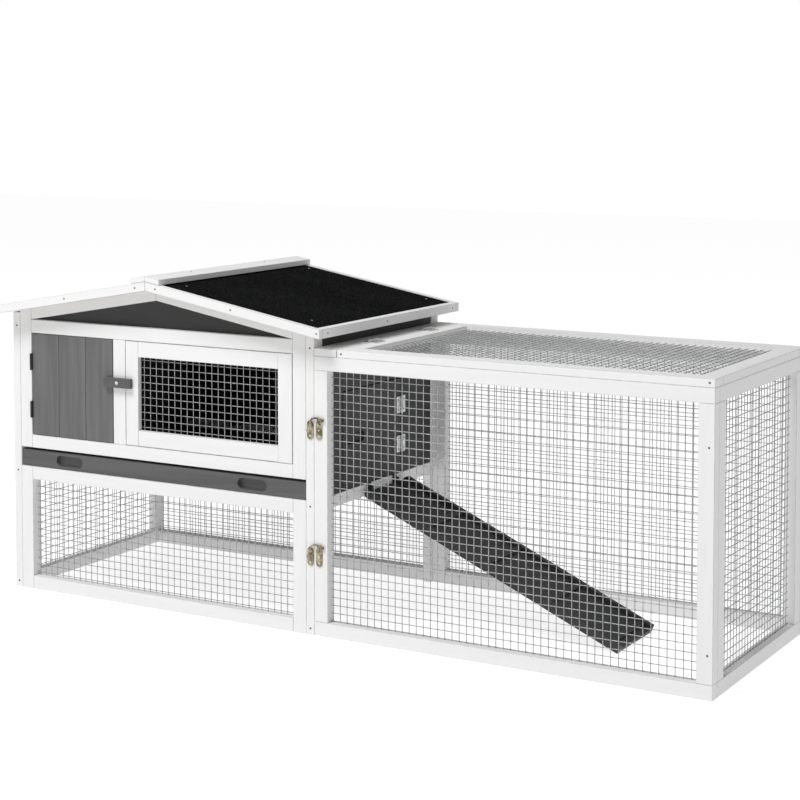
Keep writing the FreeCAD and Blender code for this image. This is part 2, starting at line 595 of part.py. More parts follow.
def make_run():
    for end, y in (("front", "front_y"), ("back", BACK_FRAME_Y)):
        pair(f"run_{end}_stiles", ("seam_x", y, "rail_height"),
             (f"{RUN_RIGHT} - post_width", y, "rail_height"),
             size=("post_width", "frame_thick", "run_height - 2 * rail_height"))
        pair(f"run_{end}_rails", ("seam_x", y, 0), ("seam_x", y, "run_height - rail_height"),
             size=("run_length", "frame_thick", "rail_height"))
        mesh_panel(f"run_{end}_mesh", "Y", "seam_x + post_width", f"{y} + mesh_inset", "rail_height",
                   "run_length - 2 * post_width", "run_height - 2 * rail_height", "4.4", "1.8")
    x, y = f"({RUN_RIGHT} - frame_thick)", "(front_y + frame_thick)"
    deep = "(body_depth - 2 * frame_thick)"
    pair("run_end_stiles", (x, y, "rail_height"), (x, f"{BACK_FRAME_Y} - post_width", "rail_height"),
         size=("frame_thick", "post_width", "run_height - 2 * rail_height"))
    pair("run_end_rails", (x, y, 0), (x, y, "run_height - rail_height"),
         size=("frame_thick", deep, "rail_height"))
    mesh_panel("run_end_mesh", "X", f"{RUN_RIGHT} - mesh_inset", f"{y} + post_width", "rail_height",
               f"{deep} - 2 * post_width", "run_height - 2 * rail_height", "6", "1.8")


def make_run_top():
    node(block("top_strip", "seam_x", "front_y", "run_height", "strip_width", "body_depth", "top_thick"))
    x = "(seam_x + strip_width + 1.5)"
    wide = "(run_length - strip_width - 1.5)"
    ends = [block(f"top_end_{n}", at, "front_y + top_member", "run_height", "top_member",
                  "body_depth - 2 * top_member", "top_thick")
            for n, at in enumerate((x, f"{RUN_RIGHT} - top_member"), 1)]
    sides = [block(f"top_side_{n}", x, at, "run_height", wide, "top_member", "top_thick")
             for n, at in enumerate(("front_y", f"{BACK_Y} - top_member"), 1)]
    group("top_panel_frame", *ends, *sides)
    mesh_panel("top_panel_mesh", "Z", f"{x} + top_member", "front_y + top_member",
               "run_height + top_thick / 2", f"{wide} - 2 * top_member",
               "body_depth - 2 * top_member", "6", "6")
    spots = [("seam_x + strip_width + 0.75", f"front_y + {y}", "run_height + top_thick + pin_off")
             for y in (136, 350)]
    return hinges("top_hinge", spots, FreeCAD.Rotation(FreeCAD.Vector(1, 0, 0), -90))


def make_roof(side):
    reach = "(roof_reach - trim_thick)"
    y, deep = f"({ROOF_FRONT_Y} + trim_thick)", "(roof_front + body_depth + roof_back - 2 * trim_thick)"
    start = "0.3" if side == "right" else "0"
    node(roof_layer(f"{side}_roof_deck", side, start, reach, y, deep, "0", "deck_thick"))
    node(roof_layer(f"{side}_roof_felt", side, start, reach, y, deep, "deck_thick",
                    "deck_thick + felt_thick"))
    bottom, top = "-trim_drop", "trim_height - trim_drop"
    rakes = [roof_layer(f"{side}_{end}_edging", side, start, "roof_reach", at, "trim_thick", bottom, top)
             for end, at in (("front", ROOF_FRONT_Y), ("back", f"({ROOF_BACK_Y} - trim_thick)"))]
    eave = roof_layer(f"{side}_eave_edging", side, reach, "roof_reach", y, deep, bottom, top)
    group(f"{side}_roof_edging", *rakes, eave)


def make_ridge_cap():
    bottom, top = "cap_lift", "cap_lift + cap_thick"
    deep = "(roof_front + body_depth + roof_back)"
    boards = [roof_layer(f"{side}_cap_board", side, 0, "cap_width", ROOF_FRONT_Y, deep, bottom, top)
              for side in SIDES]
    group("ridge_cap", *boards)
    felt = under_roof("cap_width + pin_off", "deck_thick + felt_thick")
    spots = [(f"{RIDGE_X} - cap_width - pin_off", f"front_y + {y}",
              f"{felt} + pin_off + 0.3") for y in (90, 394)]
    along = FreeCAD.Rotation(FreeCAD.Vector(1, 0, 0), -90)
    tilt = FreeCAD.Rotation(FreeCAD.Vector(0, 1, 0), -9.83)
    upright = FreeCAD.Rotation(FreeCAD.Vector(0, 1, 0), -90)
    return hinges("roof_hinge", spots, tilt.multiply(along), upright.multiply(along),
                  moving_width="cap_thick")


def make_latches():
    """Swing hooks: a plate with a pivot stud on the hutch, a plate with a catch stud on the run."""
    y, straight = "(front_y - plate_thick)", "(plate_length - plate_width)"
    hook_x, catch_x = "(seam_x - latch_left)", "(seam_x - latch_left + latch_spread)"
    plates = []
    for level in ("high", "low"):
        for kind, x in (("hook", hook_x), ("catch", catch_x)):
            name, middle = f"{kind}_{level}", f"latch_{level}"
            plates.append(fuse(
                name + "_plate",
                block(name + "_flat", f"{x} - plate_width / 2", y, f"{middle} - {straight} / 2",
                      "plate_width", "plate_thick", straight),
                rod(name + "_top_end", x, y, f"{middle} + {straight} / 2", "plate_width / 2",
                    "plate_thick", (0, 1, 0)),
                rod(name + "_low_end", x, y, f"{middle} - {straight} / 2", "plate_width / 2",
                    "plate_thick", (0, 1, 0)),
                rod(name + "_stud", x, f"{y} - arm_thick - 1", f"{middle} + latch_rise", "latch_stud",
                    "arm_thick + 1.2", (0, 1, 0)),
            ))
    group("latch_plates", *plates)
    for level in ("high", "low"):
        name = f"latch_{level}_arm"
        at, z = f"({y} - arm_thick - 0.3)", f"(latch_{level} + latch_rise)"
        eye = rod(name + "_eye", hook_x, at, z, "latch_stud + 2.4", "arm_thick", (0, 1, 0))
        riser = block(name + "_riser", f"{hook_x} - arm_width / 2", at, z, "arm_width", "arm_thick",
                      "arm_rise + arm_width")
        bar = block(name + "_bar", f"{hook_x} - arm_width / 2", at, f"{z} + arm_rise",
                    "arm_reach + arm_width", "arm_thick", "arm_width")
        tongue = block(name + "_tongue", f"{catch_x} - 1.5", at, f"{z} + latch_stud + 0.4", "3", "arm_thick",
                       "arm_rise - latch_stud")
        thumb = block(name + "_thumb", f"{hook_x} + arm_reach - arm_width / 2", at, f"{z} + arm_rise - 5",
                      "arm_width", "arm_thick", "6")
        bore = rod(name + "_bore", hook_x, f"{at} - 1", z, "latch_stud + pin_play", "arm_thick + 2",
                   (0, 1, 0))
        node(cut(name, fuse(name + "_solid", eye, riser, bar, tongue, thumb), bore))


def make_screws():
    """Heads of the screws that show on the front faces, those of the top panel apart from the others."""
    corner = "post_width / 3"
    fixed = [
        ("seam_x - side_thick / 2", "246"), ("seam_x - side_thick / 2", "12"),
        ("seam_x - side_thick / 2", "548"),
        (f"{HUTCH_LEFT} + side_thick / 2", "246"), (f"{HUTCH_LEFT} + side_thick / 2", "12"),
        (f"{HUTCH_LEFT} + side_thick / 2", "548"),
        (f"{RUN_RIGHT} - {corner}", "432"), (f"{RUN_RIGHT} - {corner}", "77"),
    ]
    moving = [(f"{RUN_RIGHT} - {corner}", "542"), ("seam_x + 60", "541.5")]
    for label, spots in (("front_screws", fixed), ("top_panel_screws", moving)):
        group(label, *[rod(f"{label}_{number}", x, "front_y - screw_proud", z, "screw_radius",
                           "screw_proud", (0, 1, 0)) for number, (x, z) in enumerate(spots, 1)])


def write_subparts():
    """Stops if anything failed; otherwise writes each sub-part to a STEP file of its own."""
    doc.recompute()
    failed = [o.Label for o in doc.Objects if {"Invalid", "Error"} & set(o.State)]
    if failed:
        raise RuntimeError(f"failed objects: {failed}")
    for thing in subparts:
        if thing.Shape.isNull() or not thing.Shape.isValid():
            raise RuntimeError(f"bad shape: {thing.Label}")
        if not thing.Shape.Solids:
            raise RuntimeError(f"no solid: {thing.Label}")
    os.makedirs("parts", exist_ok=True)
    for thing in subparts:
        thing.Shape.exportStep(f"parts/{thing.Label}.step")
    print(len(subparts), "sub-parts")


make_front()
make_gables()
make_back()
make_side_walls()
make_inside()
make_lower_mesh()
make_tray()
make_nest_door()
make_mesh_door()
make_turn_button()
side_fixed, side_moving = make_side_door()
make_ramp()
make_run()
top_fixed, top_moving = make_run_top()
for half in SIDES:
    make_roof(half)
roof_fixed, roof_moving = make_ridge_cap()
make_latches()
make_screws()
group("surface_hinge_fixed", *side_fixed, *top_fixed, *roof_fixed)
group("side_hinge_moving", *side_moving)
group("top_hinge_moving", *top_moving)
group("roof_hinge_moving", *roof_moving)
write_subparts()
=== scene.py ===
"""Finishes and fine detail for a two-storey rabbit hutch with an attached mesh run.

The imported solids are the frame: metres, +X from the hutch to the run, +Y to the back, +Z up, with the
origin on the floor under the middle. Timbers get eased edges and their own grain, mesh panels get round
wires, and screws and nails sit where the joinery needs them.
"""
import json
import math
import random

import bmesh
import bpy
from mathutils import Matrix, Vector

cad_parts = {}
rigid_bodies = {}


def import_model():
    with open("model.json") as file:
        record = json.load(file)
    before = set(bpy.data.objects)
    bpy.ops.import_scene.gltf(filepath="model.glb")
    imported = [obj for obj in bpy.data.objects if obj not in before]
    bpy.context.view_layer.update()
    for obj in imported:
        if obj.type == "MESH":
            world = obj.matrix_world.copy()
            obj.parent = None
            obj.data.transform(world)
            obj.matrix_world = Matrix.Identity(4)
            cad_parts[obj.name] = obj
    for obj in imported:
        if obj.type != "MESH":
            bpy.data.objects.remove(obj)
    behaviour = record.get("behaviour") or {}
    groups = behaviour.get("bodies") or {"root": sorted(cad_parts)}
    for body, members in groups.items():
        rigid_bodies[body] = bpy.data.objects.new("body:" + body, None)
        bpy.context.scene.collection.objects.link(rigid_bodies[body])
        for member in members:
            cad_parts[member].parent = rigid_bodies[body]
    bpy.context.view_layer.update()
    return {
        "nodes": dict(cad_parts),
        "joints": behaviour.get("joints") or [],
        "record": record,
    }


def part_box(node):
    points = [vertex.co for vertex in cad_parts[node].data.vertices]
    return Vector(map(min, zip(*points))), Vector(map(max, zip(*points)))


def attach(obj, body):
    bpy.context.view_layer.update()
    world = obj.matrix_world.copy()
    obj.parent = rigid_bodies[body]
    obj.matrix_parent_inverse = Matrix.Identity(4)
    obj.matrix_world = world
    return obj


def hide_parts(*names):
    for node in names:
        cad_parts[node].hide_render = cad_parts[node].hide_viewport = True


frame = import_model()
rng = random.Random(11)

X, Y, Z = Vector((1, 0, 0)), Vector((0, 1, 0)), Vector((0, 0, 1))
PITCH = 0.015
WIRE = 0.0016
WIRE_BEND = 0.0007
WELD_PRESS = 0.92
BODY_OF = {node: body for body, nodes in frame["record"]["behaviour"]["bodies"].items() for node in nodes}
SLOT_OF = {part["node"]: part["material_slot"] for part in frame["record"]["subparts"]}


# ---------------------------------------------------------------- shader helpers

def add(tree, kind, **settings):
    """A node with its plain properties and its unlinked inputs set by name or place."""
    made = tree.nodes.new(kind)
    for key, value in settings.items():
        if hasattr(made, key):
            setattr(made, key, value)
        else:
            made.inputs[key.replace("_", " ")].default_value = value
    return made


def ramp_between(tree, source, low, high):
    """Turns the stretch from low to high of a value into 0 to 1."""
    spread = add(tree, "ShaderNodeMapRange", interpolation_type="SMOOTHSTEP")
    spread.inputs["From Min"].default_value = low
    spread.inputs["From Max"].default_value = high
    tree.links.new(source, spread.inputs["Value"])
    return spread.outputs["Result"]


def mix_colours(tree, factor, first, second):
    mixed = add(tree, "ShaderNodeMix", data_type="RGBA")
    for socket, value in ((mixed.inputs[0], factor), (mixed.inputs[6], first), (mixed.inputs[7], second)):
        if isinstance(value, (tuple, float)):
            socket.default_value = value
        else:
            tree.links.new(value, socket)
    return mixed.outputs[2]


def node_group(name, inputs, outputs):
    """An empty shader group with named value inputs and outputs."""
    group = bpy.data.node_groups.new(name, "ShaderNodeTree")
    for label, value in inputs.items():
        socket = group.interface.new_socket(label, in_out="INPUT", socket_type="NodeSocketFloat")
        socket.default_value = value
    for label in outputs:
        group.interface.new_socket(label, in_out="OUTPUT", socket_type="NodeSocketFloat")
    return group, group.nodes.new("NodeGroupInput"), group.nodes.new("NodeGroupOutput")


def wood_grain_group():
    """Grain that runs along each board: fine streaks, broad bands and pores, from the board's own UV map."""
    group, given, result = node_group(
        "wood_grain", {"Streaks per metre": 420.0, "Bands per metre": 45.0}, ("Streaks", "Bands", "Pores"))
    place = add(group, "ShaderNodeUVMap", uv_map="grain")
    parts = add(group, "ShaderNodeSeparateXYZ")
    group.links.new(place.outputs[0], parts.inputs[0])

    def stretched(scale_socket, ratio, detail):
        along = add(group, "ShaderNodeMath", operation="MULTIPLY")
        along.inputs[1].default_value = ratio
        group.links.new(parts.outputs[0], along.inputs[0])
        joined = add(group, "ShaderNodeCombineXYZ")
        group.links.new(along.outputs[0], joined.inputs[0])
        group.links.new(parts.outputs[1], joined.inputs[1])
        noise = add(group, "ShaderNodeTexNoise", Detail=detail, Roughness=0.6, Distortion=0.25)
        group.links.new(joined.outputs[0], noise.inputs["Vector"])
        if isinstance(scale_socket, float):
            noise.inputs["Scale"].default_value = scale_socket
        else:
            group.links.new(scale_socket, noise.inputs["Scale"])
        return noise.outputs[0]

    streaks = stretched(given.outputs["Streaks per metre"], 0.035, 3.0)
    bands = stretched(given.outputs["Bands per metre"], 0.06, 2.0)
    pores = stretched(900.0, 0.08, 1.0)
    group.links.new(ramp_between(group, streaks, 0.3, 0.7), result.inputs["Streaks"])
    group.links.new(ramp_between(group, bands, 0.35, 0.65), result.inputs["Bands"])
    group.links.new(ramp_between(group, pores, 0.58, 0.75), result.inputs["Pores"])
    return group


def rubbed_edge_group():
    """Where an eased edge is rubbed: the edge attribute broken up by noise."""
    group, given, result = node_group("rubbed_edge", {"Patches per metre": 60.0, "Amount": 0.5}, ("Rub",))
    edge = add(group, "ShaderNodeAttribute", attribute_name="edge")
    place = add(group, "ShaderNodeTexCoord")
    noise = add(group, "ShaderNodeTexNoise", Detail=4.0)
    group.links.new(place.outputs["Object"], noise.inputs["Vector"])
    group.links.new(given.outputs["Patches per metre"], noise.inputs["Scale"])
    patchy = add(group, "ShaderNodeMath", operation="MULTIPLY")
    group.links.new(edge.outputs["Fac"], patchy.inputs[0])
    group.links.new(ramp_between(group, noise.outputs[0], 0.15, 0.62), patchy.inputs[1])
    scaled = add(group, "ShaderNodeMath", operation="MULTIPLY")
    group.links.new(patchy.outputs[0], scaled.inputs[0])
    group.links.new(given.outputs["Amount"], scaled.inputs[1])
    group.links.new(scaled.outputs[0], result.inputs["Rub"])
    return group


def mottle_group():
    """Soft blotches and fine speckle over any surface."""
    group, given, result = node_group(
        "mottle", {"Blotches per metre": 14.0, "Specks per metre": 700.0}, ("Blotches", "Specks"))
    place = add(group, "ShaderNodeTexCoord")
    for source, label, detail, low, high in (("Blotches per metre", "Blotches", 3.0, 0.35, 0.65),
                                             ("Specks per metre", "Specks", 1.0, 0.45, 0.7)):
        noise = add(group, "ShaderNodeTexNoise", Detail=detail)
        group.links.new(place.outputs["Object"], noise.inputs["Vector"])
        group.links.new(given.outputs[source], noise.inputs["Scale"])
        group.links.new(ramp_between(group, noise.outputs[0], low, high), result.inputs[label])
    return group


GRAIN = wood_grain_group()
RUB = rubbed_edge_group()
MOTTLE = mottle_group()


def use(tree, group, **values):
    """Places a shader group and sets its inputs."""
    placed = add(tree, "ShaderNodeGroup", node_tree=group)
    for label, value in values.items():
        placed.inputs[label.replace("_", " ")].default_value = value
    return placed


def finish_of(name, **constants):
    """A new material and its Principled shader, with constants set on the shader's own sockets."""
    made = bpy.data.materials.new(name)
    made.use_nodes = True
    shader = made.node_tree.nodes["Principled BSDF"]
    for label, value in constants.items():
        shader.inputs[label.replace("_", " ")].default_value = value
    return made, made.node_tree, shader


def bump(tree, shader, height, strength, distance):
    lifted = add(tree, "ShaderNodeBump", Strength=strength, Distance=distance)
    tree.links.new(height, lifted.inputs["Height"])
    tree.links.new(lifted.outputs[0], shader.inputs["Normal"])


def vary(tree, shader, label, source, low, high):
    """Drives one value of a shader between low and high."""
    spread = add(tree, "ShaderNodeMapRange")
    spread.inputs["To Min"].default_value = low
    spread.inputs["To Max"].default_value = high
    tree.links.new(source, spread.inputs["Value"])
    tree.links.new(spread.outputs[0], shader.inputs[label])


def painted_wood(name, paint, shade, rub, wear, relief):
    """Paint or stain over softwood: the grain shows as streaks and as relief, and edges are rubbed."""
    made, tree, shader = finish_of(name, IOR=1.45)
    grain = use(tree, GRAIN)
    rubbed = use(tree, RUB, Amount=wear)
    streaked = mix_colours(tree, grain.outputs["Streaks"], shade, paint)
    banded = mix_colours(tree, 0.72, streaked, mix_colours(tree, grain.outputs["Bands"], shade, paint))
    tree.links.new(mix_colours(tree, rubbed.outputs[0], banded, rub), shader.inputs["Base Color"])
    vary(tree, shader, "Roughness", grain.outputs["Bands"], 0.5, 0.62)
    bump(tree, shader, grain.outputs["Streaks"], relief, 0.0004)
    return made


def metal(name, bright, dull, roughness, grit=700.0, metallic=1.0):
    """Plated or cast metal with soft blotches and a fine tooth."""
    made, tree, shader = finish_of(name, Metallic=metallic)
    spots = use(tree, MOTTLE, Blotches_per_metre=90.0, Specks_per_metre=grit)
    tree.links.new(mix_colours(tree, spots.outputs["Blotches"], dull, bright), shader.inputs["Base Color"])
    vary(tree, shader, "Roughness", spots.outputs["Specks"], roughness - 0.06, roughness + 0.08)
    bump(tree, shader, spots.outputs["Specks"], 0.15, 0.0002)
    return made


def mineral_felt():
    """Black roofing felt: a dense grit of dark and paler grains on a slightly wavy sheet."""
    made, tree, shader = finish_of("mineral_felt", Specular_IOR_Level=0.0)
    spots = use(tree, MOTTLE, Blotches_per_metre=9.0, Specks_per_metre=420.0)
    grit = mix_colours(tree, spots.outputs["Specks"], (0.002, 0.002, 0.002, 1), (0.042, 0.043, 0.043, 1))
    worn = mix_colours(tree, spots.outputs["Blotches"],
                       (0.006, 0.0063, 0.0063, 1), (0.011, 0.0115, 0.0115, 1))
    tree.links.new(mix_colours(tree, 0.45, grit, worn), shader.inputs["Base Color"])
    vary(tree, shader, "Roughness", spots.outputs["Blotches"], 0.82, 0.95)
    bump(tree, shader, spots.outputs["Specks"], 0.7, 0.0008)
    return made


FINISHES = {
    "white_paint": painted_wood("white_paint_coat", (0.83, 0.83, 0.83, 1), (0.80, 0.80, 0.797, 1),
                                (0.42, 0.415, 0.405, 1), 0.5, 0.1),
    "grey_stain": painted_wood("grey_stain_coat", (0.160, 0.160, 0.160, 1), (0.112, 0.112, 0.112, 1),
                               (0.22, 0.22, 0.22, 1), 0.3, 0.12),
    "slate_stain": painted_wood("slate_stain_coat", (0.112, 0.112, 0.112, 1), (0.078, 0.078, 0.078, 1),
                                (0.17, 0.17, 0.17, 1), 0.35, 0.12),
    "charcoal_stain": painted_wood("charcoal_stain_coat", (0.041, 0.041, 0.041, 1), (0.028, 0.028, 0.028, 1),
                                   (0.09, 0.09, 0.09, 1), 0.3, 0.15),
    "bare_wood": painted_wood("bare_softwood", (0.62, 0.58, 0.51, 1), (0.5, 0.45, 0.37, 1),
                              (0.55, 0.47, 0.37, 1), 0.2, 0.3),
    # The tray pan is near-black: partly a dark painted pan, partly painted shade for the dark inside of the
    # hutch.
    "tray_sheet": metal("dark_tray_sheet_and_painted_shade", (0.055, 0.055, 0.056, 1), (0.04, 0.04, 0.04, 1), 0.5,
                        metallic=0.2),
    "roof_felt": mineral_felt(),
    "galvanised_wire": metal("galvanised_wire_zinc", (0.46, 0.465, 0.465, 1), (0.32, 0.325, 0.325, 1),
                             0.45, metallic=0.35),
    "zinc": metal("zinc_plate", (0.78, 0.79, 0.80, 1), (0.58, 0.59, 0.61, 1), 0.36, metallic=0.7),
    "dull_steel": metal("dull_steel_heads", (0.20, 0.20, 0.20, 1), (0.10, 0.10, 0.10, 1), 0.5, metallic=0.5),
    "black_metal": metal("black_lacquer", (0.018, 0.018, 0.018, 1), (0.01, 0.01, 0.01, 1), 0.6,
                         metallic=0.0),
    "antique_brass": metal("antique_brass_plate", (0.46, 0.41, 0.28, 1), (0.14, 0.12, 0.07, 1), 0.36,
                           metallic=0.8),
}


# ---------------------------------------------------------------- mesh helpers

FLAT_WITHIN = math.radians(0.6)
SHARP_OVER = math.radians(32)
END_GRAIN = 0.4


def solids_of(mesh):
    """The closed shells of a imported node, each as a list of faces given by their corner places.

    A shell is complete once every one of its edges has been met twice.
    """
    shells, faces, unmet = [], [], set()
    for face in mesh.polygons:
        corners = [tuple(round(value, 7) for value in mesh.vertices[v].co) for v in face.vertices]
        faces.append(corners)
        for one, other in zip(corners, corners[1:] + corners[:1]):
            unmet ^= {frozenset((one, other))}
        if not unmet:
            shells.append(faces)
            faces = []
    return shells


def centres(node):
    """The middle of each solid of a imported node."""
    found = []
    for faces in solids_of(frame["nodes"][node].data):
        places = [Vector(place) for corners in faces for place in corners]
        lows = Vector([min(place[axis] for place in places) for axis in range(3)])
        highs = Vector([max(place[axis] for place in places) for axis in range(3)])
        found.append((lows + highs) / 2)
    return found


def shell_to_bmesh(faces):
    """One closed shell as a mesh of its own, with its flat faces made whole."""
    solid = bmesh.new()
    placed = {}
    for corners in faces:
        for place in corners:
            if place not in placed:
                placed[place] = solid.verts.new(place)
        if len(set(corners)) == len(corners):
            solid.faces.new([placed[place] for place in corners])
    bmesh.ops.dissolve_limit(solid, angle_limit=FLAT_WITHIN, verts=solid.verts[:], edges=solid.edges[:])
    return solid


def lay_grain(solid, axis, eased):
    """Gives a board its own stretch of grain along an axis, and marks its eased edges."""
    uv = solid.loops.layers.uv.new("grain")
    edge = solid.loops.layers.float.new("edge")
    slip = Vector((rng.uniform(0, 9), rng.uniform(0, 9)))
    for face in solid.faces:
        across = face.normal.cross(axis)
        if across.length < END_GRAIN:
            first = axis.orthogonal().normalized()
            second = axis.cross(first)
        else:
            first, second = axis, across.normalized()
        for loop in face.loops:
            place = loop.vert.co
            loop[uv].uv = (place.dot(first) + slip.x, place.dot(second) + slip.y)
            loop[edge] = 1.0 if face in eased else 0.0


def longest_way(solid):
    """The direction of a solid's longest edge."""
    longest = max(solid.edges, key=lambda e: e.calc_length())
    return (longest.verts[1].co - longest.verts[0].co).normalized()


def joined_object(name, meshes):
    """One object from several temporary meshes."""
    whole = bmesh.new()
    for mesh in meshes:
        whole.from_mesh(mesh)
        bpy.data.meshes.remove(mesh)
    made = bpy.data.meshes.new(name)
    whole.to_mesh(made)
    whole.free()
    made_object = bpy.data.objects.new(name, made)
    bpy.context.scene.collection.objects.link(made_object)
    return made_object


def eased(name, node, radius, grain=None, smooth=False):
    """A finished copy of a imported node: every solid gets its edges eased and a grain of its own."""
    meshes = []
    for faces in solids_of(frame["nodes"][node].data):
        solid = shell_to_bmesh(faces)
        axis = grain or longest_way(solid)
        sharp = [e for e in solid.edges if e.is_manifold and e.calc_face_angle(0) > SHARP_OVER]
        rounded = bmesh.ops.bevel(solid, geom=sharp, offset=radius, segments=2, profile=0.5,
                                  affect="EDGES", clamp_overlap=True)
        solid.normal_update()
        lay_grain(solid, axis, set(rounded["faces"]))
        mesh = bpy.data.meshes.new("solid")
        solid.to_mesh(mesh)
        solid.free()
        meshes.append(mesh)
    piece = joined_object(name, meshes)
    for face in piece.data.polygons:
        face.use_smooth = smooth
    return settle(piece, node)


def settle(piece, node):
    """A piece takes a node's place: the finish of the node's slot, and its body."""
    piece.data.materials.clear()
    piece.data.materials.append(FINISHES[SLOT_OF[node]])
    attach(piece, BODY_OF[node])
    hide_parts(node)
    return piece


# ---------------------------------------------------------------- geometry node trees

class Tree:
    """A Geometry Nodes tree with named inputs."""

    def __init__(self, name, inputs):
        self.group = bpy.data.node_groups.new(name, "GeometryNodeTree")
        sockets = self.group.interface
        sockets.new_socket("Geometry", in_out="INPUT", socket_type="NodeSocketGeometry")
        self.ids = {}
        for label, kind in inputs.items():
            socket = sockets.new_socket(label, in_out="INPUT", socket_type="NodeSocket" + kind)
            self.ids[label] = socket.identifier
        sockets.new_socket("Geometry", in_out="OUTPUT", socket_type="NodeSocketGeometry")
        self.given = self.group.nodes.new("NodeGroupInput").outputs
        self.result = self.group.nodes.new("NodeGroupOutput").inputs[0]

    def add(self, kind, settings=None, **links):
        """A node with its properties set and its inputs linked or set.

        An underscore in an input's name stands for a space, and _0 is the first input.
        """
        made = self.group.nodes.new(kind)
        for key, value in (settings or {}).items():
            setattr(made, key, value)
        for label, value in links.items():
            socket = made.inputs[int(label[1:]) if label[1:].isdigit() else label.replace("_", " ")]
            if isinstance(value, bpy.types.NodeSocket):
                self.group.links.new(value, socket)
            else:
                socket.default_value = value
        return made

    def join(self, *parts):
        joined = self.group.nodes.new("GeometryNodeJoinGeometry")
        for part in parts:
            self.group.links.new(part, joined.inputs[0])
        return joined.outputs[0]

    def finish(self, geometry):
        """Ends the tree with real geometry in the given material."""
        real = self.add("GeometryNodeRealizeInstances", Geometry=geometry)
        coated = self.add("GeometryNodeSetMaterial", Geometry=real.outputs[0],
                          Material=self.given["Material"])
        self.group.links.new(coated.outputs[0], self.result)

    def grow(self, name, seed_mesh, **values):
        """Runs the tree on a mesh and returns the outcome as a plain object."""
        holder = bpy.data.objects.new(name, seed_mesh)
        bpy.context.scene.collection.objects.link(holder)
        modifier = holder.modifiers.new("grow", "NODES")
        modifier.node_group = self.group
        for label, value in values.items():
            modifier[self.ids[label.replace("_", " ")]] = value
        bpy.context.view_layer.update()
        evaluated = holder.evaluated_get(bpy.context.evaluated_depsgraph_get())
        mesh = bpy.data.meshes.new_from_object(evaluated)
        holder.modifiers.clear()
        holder.data = mesh
        mesh.name = name
        return holder


def wire_tree():
    """Welded mesh: a row of uprights and a row of cross wires, each wire round and very slightly bent."""
    tree = Tree("welded_mesh", {
        "Upright start": "Vector", "Upright run": "Vector", "Upright step": "Vector", "Uprights": "Int",
        "Cross start": "Vector", "Cross run": "Vector", "Cross step": "Vector", "Cross wires": "Int",
        "Radius": "Float", "Bend": "Float", "Material": "Material"})
    profile = tree.add("GeometryNodeCurvePrimitiveCircle", Resolution=6, Radius=tree.given["Radius"])
    layers = []
    for start, run, step, count in (("Upright start", "Upright run", "Upright step", "Uprights"),
                                    ("Cross start", "Cross run", "Cross step", "Cross wires")):
        row = tree.add("GeometryNodeMeshLine", {"mode": "OFFSET"}, Count=tree.given[count],
                       Start_Location=tree.given[start], Offset=tree.given[step])
        wire = tree.add("GeometryNodeCurvePrimitiveLine", End=tree.given[run])
        placed = tree.add("GeometryNodeInstanceOnPoints", Points=row.outputs[0], Instance=wire.outputs[0])
        real = tree.add("GeometryNodeRealizeInstances", Geometry=placed.outputs[0])
        cut = tree.add("GeometryNodeResampleCurve", Curve=real.outputs[0], Count=6)
        noise = tree.add("ShaderNodeTexNoise", Scale=9.0)
        centred = tree.add("ShaderNodeVectorMath", {"operation": "SUBTRACT"},
                           _0=noise.outputs["Color"], _1=(0.5, 0.5, 0.5))
        bent = tree.add("ShaderNodeVectorMath", {"operation": "SCALE"},
                        _0=centred.outputs[0], Scale=tree.given["Bend"])
        moved = tree.add("GeometryNodeSetPosition", Geometry=cut.outputs[0], Offset=bent.outputs[0])
        layers.append(tree.add("GeometryNodeCurveToMesh", Curve=moved.outputs[0],
                               Profile_Curve=profile.outputs[0], Fill_Caps=True).outputs[0])
    smooth = tree.add("GeometryNodeSetShadeSmooth", Geometry=tree.join(*layers))
    tree.finish(smooth.outputs[0])
    return tree


RECESS_WIDTH = 0.0008
RECESS_SHARE = 1.3


def head_tree():
    """Screw or nail heads: low discs, with a cross recess where wanted, set along each point's aim."""
    tree = Tree("fastener_heads", {"Radius": "Float", "Height": "Float", "Recess": "Float",
                                   "Crossed": "Bool", "Material": "Material"})
    disc = tree.add("GeometryNodeMeshCylinder", Vertices=16, Radius=tree.given["Radius"],
                    Depth=tree.given["Height"])
    bars = []
    for turn in (0.0, math.pi / 2):
        size = tree.add("ShaderNodeCombineXYZ", X=tree.given["Recess"], Y=RECESS_WIDTH,
                        Z=tree.given["Height"])
        bar = tree.add("GeometryNodeMeshCube", Size=size.outputs[0])
        lift = tree.add("ShaderNodeCombineXYZ", Z=tree.given["Height"])
        bars.append(tree.add("GeometryNodeTransform", Geometry=bar.outputs[0], Translation=lift.outputs[0],
                             Rotation=(0.0, 0.0, turn)).outputs[0])
    cut = tree.add("GeometryNodeMeshBoolean", {"operation": "DIFFERENCE", "solver": "EXACT"},
                   Mesh_1=disc.outputs[0], Mesh_2=tree.join(*bars))
    choice = tree.group.nodes.new("GeometryNodeSwitch")
    choice.input_type = "GEOMETRY"
    tree.group.links.new(tree.given["Crossed"], choice.inputs[0])
    tree.group.links.new(disc.outputs[0], choice.inputs[1])
    tree.group.links.new(cut.outputs[0], choice.inputs[2])
    aim = tree.add("GeometryNodeInputNamedAttribute", {"data_type": "FLOAT_VECTOR"}, Name="aim")
    facing = tree.add("FunctionNodeAlignRotationToVector", {"axis": "Z"}, Vector=aim.outputs[0])
    spin = tree.add("FunctionNodeRandomValue", {"data_type": "FLOAT"}, Seed=4)
    spin.inputs[3].default_value = math.pi
    turned = tree.add("FunctionNodeAxisAngleToRotation", Axis=(0.0, 0.0, 1.0), Angle=spin.outputs[1])
    both = tree.add("FunctionNodeRotateRotation", {"rotation_space": "LOCAL"}, Rotation=facing.outputs[0],
                    Rotate_By=turned.outputs[0])
    placed = tree.add("GeometryNodeInstanceOnPoints", Points=tree.given["Geometry"],
                      Instance=choice.outputs[0], Rotation=both.outputs[0])
    tree.finish(placed.outputs[0])
    return tree


